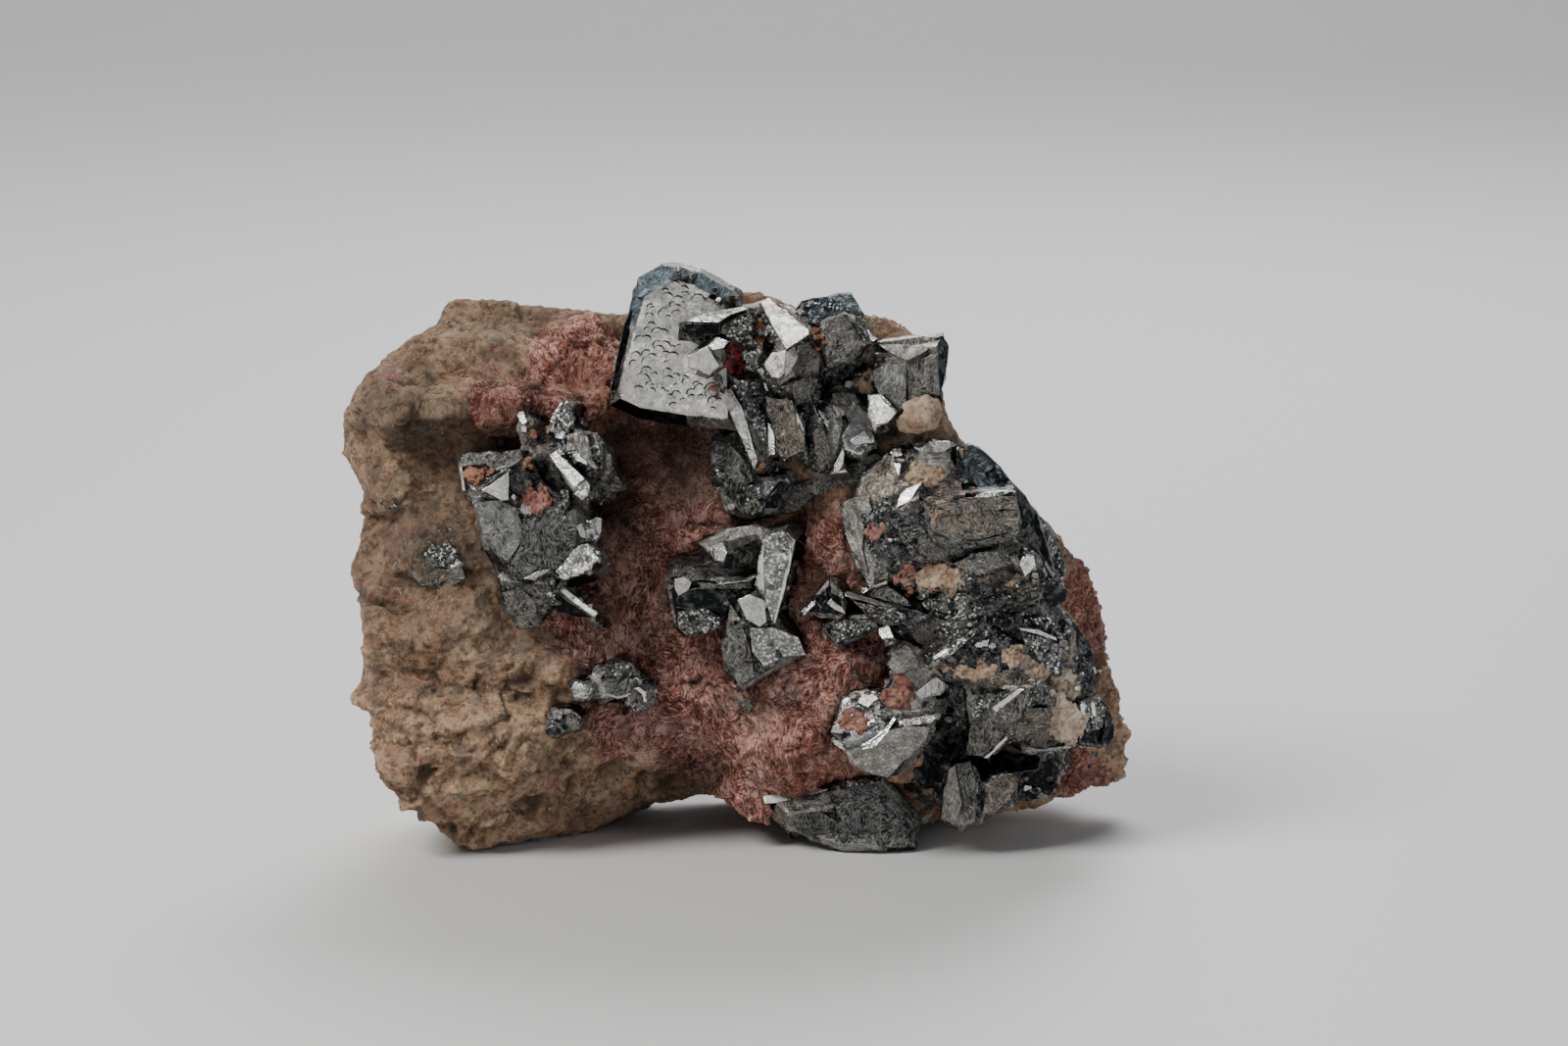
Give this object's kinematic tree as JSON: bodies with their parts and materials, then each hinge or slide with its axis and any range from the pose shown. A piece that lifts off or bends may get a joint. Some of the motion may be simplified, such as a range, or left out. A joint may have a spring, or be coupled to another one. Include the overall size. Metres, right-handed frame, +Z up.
{
  "type": "mineral specimen of metallic crystals on rock matrix",
  "caption": "Cabinet mineral specimen: bevelled tabular and bladed dark metallic crystals grown on a broken red-brown and tan rock, resting on its rough flat underside",
  "frame": {"origin": "the middle of the specimen's box on the surface that it rests on", "axes": "+X to the viewer's right along the longest side, +Y away from the crystal-covered face into the rock, +Z up"},
  "size_m": [0.0894, 0.0396, 0.0666],
  "materials": {
    "rock": "matte",
    "bright_crystal": "gloss",
    "dull_crystal": "satin",
    "tan_crust": "matte"
  },
  "bodies": {
    "root": {"rock_matrix": "rock", "upper_crystals": "bright_crystal", "right_crystals": "bright_crystal", "foot_crystals": "dull_crystal", "left_crystals": "dull_crystal", "centre_crystals": "bright_crystal", "blade_crystals": "bright_crystal", "small_cube": "bright_crystal", "small_rosette": "dull_crystal", "small_stub": "dull_crystal", "tan_nodule": "tan_crust"}
  },
  "joints": []
}
